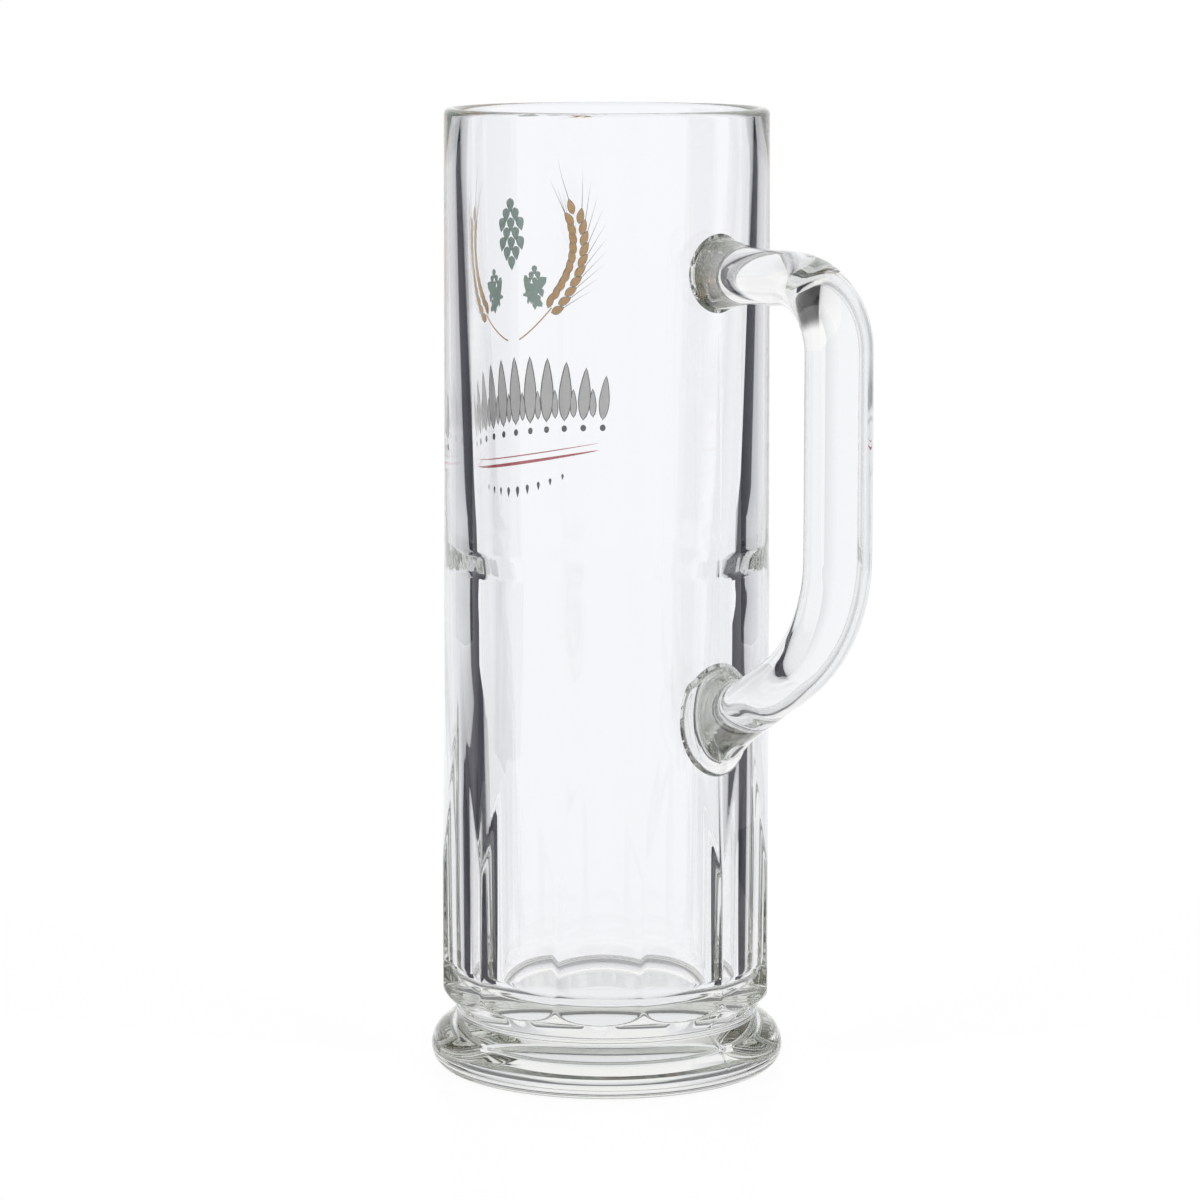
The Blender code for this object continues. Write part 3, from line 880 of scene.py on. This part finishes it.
def makeFloor(f):
    material, tree, shader = newMaterial("paleFloor")
    do = partial(calc, tree)
    path = placeNode(tree, "ShaderNodeLightPath").outputs
    camera, through = path["Is Camera Ray"], path["Is Transmission Ray"]
    fill(tree, shader, {"Base Color": f["colour"], "Roughness": f["roughness"]})
    tint = placeNode(tree, "ShaderNodeMix", {"Factor": through, "A": white, "B": studio["throughGlass"]},
                     data_type="RGBA")
    place = placeNode(tree, "ShaderNodeTexCoord").outputs["Object"]
    apart = placeNode(tree, "ShaderNodeVectorMath", {0: place}, operation="LENGTH").outputs["Value"]
    shadow = placeNode(tree, "ShaderNodeValToRGB", {"Fac": do("DIVIDE", apart, f["shadeReach"])})
    band = shadow.color_ramp.elements
    for distance, _ in f["shade"][1:-1]:
        band.new(distance / f["shadeReach"])
    for item, (distance, value) in zip(band, f["shade"]):
        item.position = distance / f["shadeReach"]
        item.color = (value, value, value, 1.0)
    # painted shadow rings under the foot, and painted shade for light turned back many times, only in light
    # through the glass
    dim = do("MULTIPLY", shadow.outputs["Color"], turnedShade(tree, path))
    glow = placeNode(tree, "ShaderNodeEmission", {
        "Color": tint.outputs["Result"], "Strength": do("MAXIMUM", camera, dim)})
    mixSurface(tree, do("MULTIPLY", do("MAXIMUM", camera, through), f["glow"]), shader, glow)
    mesh = bmesh.new()
    bmesh.ops.create_grid(mesh, x_segments=1, y_segments=1, size=f["size"] / 2)
    addBuilt("floor", mesh, material)


makeFloor(floor)

scrim = {
    "offset": 34.0 * mm, "lift": 0.5 * mm, "colour": (0.006, 0.006, 0.02), "greySteps": 4, "edge": 1,
    # from: where a scrim's grey starts, in degrees from ahead; soft: how much its grey and its black show in
    # light that isn't turned back; rows: distance, height, where black starts and ends, the grey next to it
    "shine": 0.45, "plans": [
        {"side": 1, "from": 12, "soft": (0.4, 0.0), "rows": [
            (0.02, 0.0, 36, 68, 0.50), (0.25, 0.0, 37, 68, 0.45), (0.37, 0.0, 49, 64, 0.37),
            (0.44, 0.0, 45, 57, 0.50), (0.52, 0.0, 44, 57, 0.66), (0.60, 0.0, 41, 55, 0.58),
            (0.60, 0.06, 37, 54, 0.55), (0.60, 0.12, 36, 54, 0.53), (0.60, 0.17, 28, 54, 0.55),
            (0.60, 0.40, 28, 54, 0.55)]},
        {"side": -1, "from": 12, "soft": (0.4, 0.0), "rows": [
            (0.02, 0.0, 36, 68, 0.50), (0.25, 0.0, 36, 68, 0.50), (0.37, 0.0, 36, 60, 0.50),
            (0.44, 0.0, 43, 60, 0.55), (0.52, 0.0, 44, 60, 0.58), (0.60, 0.0, 37, 54, 0.55),
            (0.60, 0.06, 36, 50, 0.55), (0.60, 0.12, 36, 50, 0.53), (0.60, 0.17, 30, 50, 0.55),
            (0.60, 0.40, 30, 50, 0.55)]},
        {"side": 1, "from": 74, "soft": (1.0, 1.0), "rows": [
            (0.30, 0.0, 80, 110, 0.5), (2.00, 0.0, 80, 110, 0.5), (2.00, 0.50, 80, 110, 0.5)]}],
    # wings: scrims that only the outside of the glass mirrors
    "wingShine": 0.9, "wings": [
        {"side": side, "from": 40, "soft": (0.0, 0.0), "rows": [
            (0.61, 0.0, 47, 72, 0.6), (0.61, 0.40, 47, 72, 0.6)]} for side in (1, -1)],
}


def scrimMaterial(shine, inside):
    # shows where the glass mirrors it or turns light back, its soft parts also straight through the glass
    material, tree, shader = newMaterial("scrimShade")
    tree.nodes.remove(shader)
    do = partial(calc, tree)
    path = placeNode(tree, "ShaderNodeLightPath").outputs
    shade = placeNode(tree, "ShaderNodeAttribute", attribute_name="shade").outputs
    turned = do("GREATER_THAN", path["Glossy Depth"], 0.5)
    through = do("GREATER_THAN", path["Transmission Depth"], 0.5)
    sharp = do("LESS_THAN", path["Diffuse Depth"], 0.5)
    grey = do("MULTIPLY", through, shade["Alpha"])
    mirrored = do("MULTIPLY", do("SUBTRACT", 1.0, through), shine)
    shown = do("MULTIPLY", turned, do("MAXIMUM", do("MULTIPLY", through, inside), mirrored))
    mixSurface(tree, do("MULTIPLY", sharp, do("MAXIMUM", shown, grey)),
               placeNode(tree, "ShaderNodeBsdfTransparent"),
               placeNode(tree, "ShaderNodeEmission", {"Color": shade["Color"]}))
    return material


def sideways(turn):
    return Vector((cos(radians(turn)), sin(radians(turn)), 0))


def makeScrim(s, plan, material):
    side, rows, first, ahead = plan["side"], plan["rows"], plan["from"], studio["ahead"]
    greySoft, blackSoft = plan["soft"]
    start = sideways(ahead + 90 * side) * s["offset"]
    points, shades, faces = [], [], []
    for distance, height, black, end, grey in rows:
        columns = []
        for k in range(s["greySteps"] + 1):
            share = k / s["greySteps"]
            turn = first + (black - s["edge"] - first) * share
            columns.append((turn, 1.0 + (grey - 1.0) * share, greySoft))
        columns += [(black, 0.0, blackSoft), (end, 0.0, blackSoft)]
        for turn, shade, soft in columns:
            rise = Vector((0, 0, height + s["lift"]))
            points.append(start + sideways(ahead + turn * side) * distance + rise)
            shades.append([d + shade * (t - d) for d, t in zip(s["colour"], studio["throughGlass"])] + [soft])
    wide = len(columns)
    for i in range(len(rows) - 1):
        for j in range(wide - 1):
            k = i * wide + j
            faces.append((k, k + 1, k + wide + 1, k + wide))
    mesh = bpy.data.meshes.new("scrim")
    mesh.from_pydata(points, [], faces)
    colour = mesh.color_attributes.new("shade", "FLOAT_COLOR", "POINT")
    for item, value in zip(colour.data, shades):
        item.color = value
    mesh.materials.append(material)
    piece = addPiece("scrim", mesh)
    for ray in ("camera", "diffuse", "shadow", "volume_scatter"):
        setattr(piece, "visible_" + ray, False)


for plans, shine, inside in (("plans", "shine", 1.0), ("wings", "wingShine", 0.0)):
    scrimShade = scrimMaterial(scrim[shine], inside)
    for plan in scrim[plans]:
        makeScrim(scrim, plan, scrimShade)

sky = {
    "shade": 0.12, "start": 0.62, "end": 0.92,      # sines of the height where the sky darkens
    "patchTurn": 75, "patchHeight": 72, "patchInner": 20, "patchOuter": 28, "patchShade": 0.03,
    "frontLight": 0.9,                              # what light from the camera's side adds on matt surfaces
}


def makeWorld(s):
    # white all round, and darker overhead for what shines or shows through glass
    world = bpy.data.worlds.new("studioWorld")
    world.use_nodes = True
    tree = world.node_tree
    do = partial(calc, tree)
    path = placeNode(tree, "ShaderNodeLightPath").outputs
    way = placeNode(tree, "ShaderNodeTexCoord").outputs["Generated"]
    overhead = mapRange(tree, splitAxes(tree, way)["Z"], s["start"], s["end"], 1.0, s["shade"], "SMOOTHSTEP")
    turn, rise = radians(studio["ahead"] + s["patchTurn"]), radians(s["patchHeight"])
    towards = dotProduct(tree, way, (cos(turn) * cos(rise), sin(turn) * cos(rise), sin(rise)))
    outer, inner = cos(radians(s["patchOuter"])), cos(radians(s["patchInner"]))
    patch = mapRange(tree, towards, outer, inner, 1.0, s["patchShade"], "SMOOTHSTEP")
    # painted shade for light that the glass turned back many times, on top of the darker sky
    dim = do("MULTIPLY", do("MINIMUM", overhead, patch), turnedShade(tree, path))
    spread = do("GREATER_THAN", path["Diffuse Depth"], 0.5)
    plain = do("MAXIMUM", path["Is Camera Ray"], spread)
    front = dotProduct(tree, way, sideways(studio["ahead"]) * -s["frontLight"])
    extra = do("MULTIPLY", spread, do("MAXIMUM", front, 0.0))
    fill(tree, tree.nodes["Background"], {
        "Color": white, "Strength": do("ADD", extra, do("MAXIMUM", plain, dim))})
    scene.world = world


makeWorld(sky)

view = {
    "place": (0.7144, -0.6547, 0.2436), "aim": (-0.00099, -0.00108, 0.10192),
    "focalPixels": 4524, "imagePixels": 1200, "sensor": 36.0,
}


def makeCamera(v):
    data = bpy.data.cameras.new("camera")
    data.sensor_width = v["sensor"]
    data.lens = v["focalPixels"] / v["imagePixels"] * v["sensor"]
    camera = bpy.data.objects.new("camera", data)
    camera.location = v["place"]
    look = Vector(v["aim"]) - Vector(v["place"])
    camera.rotation_euler = look.to_track_quat("-Z", "Y").to_euler()
    scene.collection.objects.link(camera)
    scene.camera = camera


makeCamera(view)
scene.view_settings.view_transform = "Standard"
for kind in ("max", "transmission", "glossy"):
    setattr(scene.cycles, kind + "_bounces", studio["bounces"])     # thick glass turns the light many times
print("floor, scrims, world and camera made")
